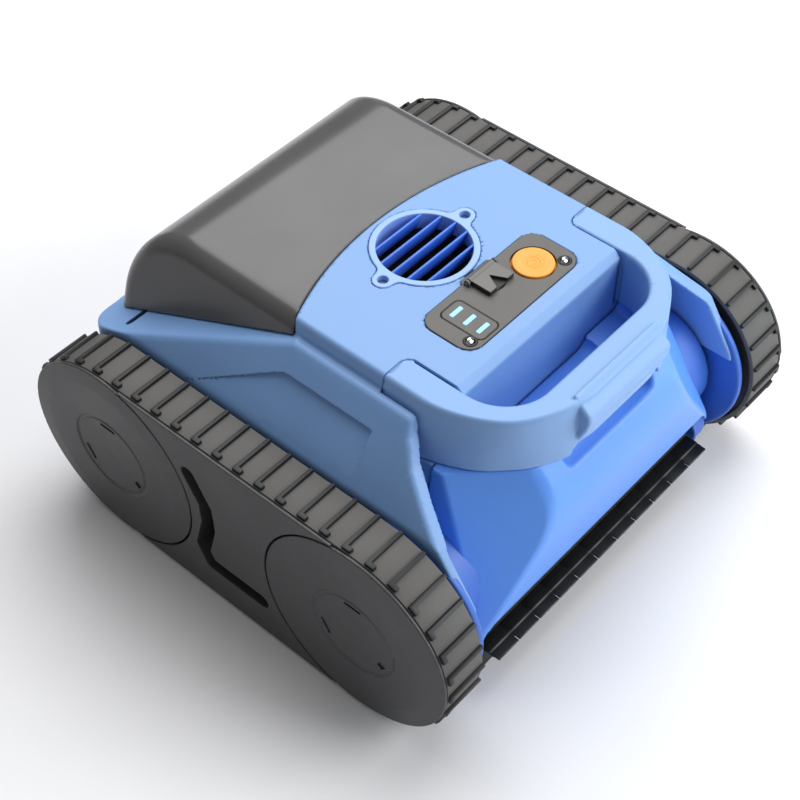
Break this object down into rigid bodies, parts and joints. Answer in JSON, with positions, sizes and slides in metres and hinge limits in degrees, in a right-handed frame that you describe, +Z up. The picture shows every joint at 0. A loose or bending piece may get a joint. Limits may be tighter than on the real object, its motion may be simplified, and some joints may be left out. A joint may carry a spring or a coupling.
{
  "type": "pool cleaner",
  "caption": "Low tracked underwater cleaning robot with belts round disc wheels, a front brush roller, hand slot, top outlet grille, button panel and a clear rear lid over a filter basket.",
  "frame": {"origin": "on the floor under the middle of the machine", "axes": "+Z up, -Y is the front with the brush, +X is the machine's left side"},
  "size_m": [0.404, 0.402, 0.2314],
  "materials": {
    "shell_dark": "satin moulded",
    "shell_mid": "satin moulded",
    "shell_light": "satin moulded",
    "cover_grey": "fine grained",
    "belt_rubber": "matt",
    "wheel_plastic": "moulded",
    "steel": "stainless",
    "gear_nylon": "moulded",
    "motor_case": "sealed, anodised",
    "gear_brass": "cut",
    "brush_core_plastic": "moulded",
    "brush_rubber": "matt",
    "panel_grey": "fine grained",
    "led_window_plastic": "polished",
    "led_light": "frosted",
    "button_orange": "satin moulded",
    "inner_black": "moulded",
    "cap_grey": "moulded",
    "board_green": "coated",
    "battery_case": "sealed",
    "impeller_white": "moulded",
    "basket_grey": "moulded",
    "filter_fabric": "fine woven mesh",
    "tab_orange": "moulded",
    "lid_smoke": "smoke tinted clear plastic",
    "foam": "closed cell"
  },
  "bodies": {
    "hull": {"base_shell": "shell_dark", "top_shell": "shell_mid", "handle": "shell_light", "front_cowl": "shell_mid", "side_frame_left": "cover_grey", "side_frame_right": "cover_grey", "side_cover_left": "cover_grey", "side_cover_right": "cover_grey", "belt_left": "belt_rubber", "belt_right": "belt_rubber", "wheel_bushes": "gear_nylon", "drive_motor_left": "motor_case", "drive_motor_right": "motor_case", "brush_bushes": "gear_nylon", "outlet_grille": "shell_mid", "grille_screws": "steel", "control_panel": "panel_grey", "panel_screws": "steel", "led_window": "led_window_plastic", "led_bars": "led_light", "button_spring": "steel", "button_housing": "inner_black", "cap_pin": "steel", "charge_socket": "inner_black", "control_board": "board_green", "battery_pack": "battery_case", "pump_motor": "motor_case", "pump_duct": "inner_black", "inlet_duct": "inner_black", "basket_frame": "basket_grey", "basket_mesh": "filter_fabric", "basket_tabs": "tab_orange", "lid_pin": "steel", "float_left": "foam", "float_right": "foam", "base_screws": "steel"},
    "front_left": {"wheel_front_left": "wheel_plastic", "hub_cap_front_left": "cover_grey", "axle_front_left": "steel", "axle_gear_left": "gear_nylon"},
    "front_right": {"wheel_front_right": "wheel_plastic", "hub_cap_front_right": "cover_grey", "axle_front_right": "steel", "axle_gear_right": "gear_nylon"},
    "rear_left": {"wheel_rear_left": "wheel_plastic", "hub_cap_rear_left": "cover_grey", "axle_rear_left": "steel"},
    "rear_right": {"wheel_rear_right": "wheel_plastic", "hub_cap_rear_right": "cover_grey", "axle_rear_right": "steel"},
    "motor_left": {"pinion_left": "gear_brass"},
    "motor_right": {"pinion_right": "gear_brass"},
    "brush": {"brush_core": "brush_core_plastic", "brush_fins": "brush_rubber", "brush_gear": "gear_brass"},
    "impeller": {"impeller": "impeller_white"},
    "lid": {"lid": "lid_smoke"},
    "charge_cap": {"charge_cap": "cap_grey"},
    "power_button": {"power_button": "button_orange"},
    "inlet_flap": {"inlet_flap": "inner_black"}
  },
  "joints": [
    {"name": "front_left_spin", "type": "hinge", "parent": "hull", "child": "front_left", "pos_m": [0, -0.118, 0.083], "axis": [1, 0, 0], "continuous": true},
    {"name": "front_right_spin", "type": "hinge", "parent": "hull", "child": "front_right", "pos_m": [0, -0.118, 0.083], "axis": [1, 0, 0], "continuous": true},
    {"name": "rear_left_spin", "type": "hinge", "parent": "hull", "child": "rear_left", "pos_m": [0, 0.118, 0.083], "axis": [1, 0, 0], "continuous": true},
    {"name": "rear_right_spin", "type": "hinge", "parent": "hull", "child": "rear_right", "pos_m": [0, 0.118, 0.083], "axis": [1, 0, 0], "continuous": true},
    {"name": "motor_left_spin", "type": "hinge", "parent": "hull", "child": "motor_left", "pos_m": [0, -0.06362, 0.10836], "axis": [1, 0, 0], "continuous": true},
    {"name": "motor_right_spin", "type": "hinge", "parent": "hull", "child": "motor_right", "pos_m": [0, -0.06362, 0.10836], "axis": [1, 0, 0], "continuous": true},
    {"name": "brush_spin", "type": "hinge", "parent": "hull", "child": "brush", "pos_m": [0, -0.155, 0.03577], "axis": [1, 0, 0], "continuous": true},
    {"name": "impeller_spin", "type": "hinge", "parent": "hull", "child": "impeller", "pos_m": [0, -0.007, 0.15], "axis": [0, 0, 1], "continuous": true},
    {"name": "lid_hinge", "type": "hinge", "parent": "hull", "child": "lid", "pos_m": [0, 0.189, 0.144], "axis": [-1, 0, 0], "range_deg": [0, 100]},
    {"name": "charge_cap_hinge", "type": "hinge", "parent": "hull", "child": "charge_cap", "pos_m": [0.004, -0.054, 0.2289], "axis": [-1, 0, 0], "range_deg": [0, 110]},
    {"name": "power_button_press", "type": "slide", "parent": "hull", "child": "power_button", "axis": [0, 0, -1], "range_m": [0, 0.0018], "stiffness_N_per_m": 400, "springref_m": -0.003, "deforming": ["button_spring"]},
    {"name": "inlet_flap_swing", "type": "hinge", "parent": "hull", "child": "inlet_flap", "pos_m": [0, 0.108, 0.0675], "axis": [-1, 0, 0], "range_deg": [0, 70]}
  ],
  "couplings": [
    {"joint": "rear_left_spin", "follows": "front_left_spin", "ratio": 1},
    {"joint": "rear_right_spin", "follows": "front_right_spin", "ratio": 1},
    {"joint": "motor_left_spin", "follows": "front_left_spin", "ratio": -3.2857},
    {"joint": "motor_right_spin", "follows": "front_right_spin", "ratio": -3.2857},
    {"joint": "brush_spin", "follows": "front_left_spin", "ratio": -3.2857}
  ]
}
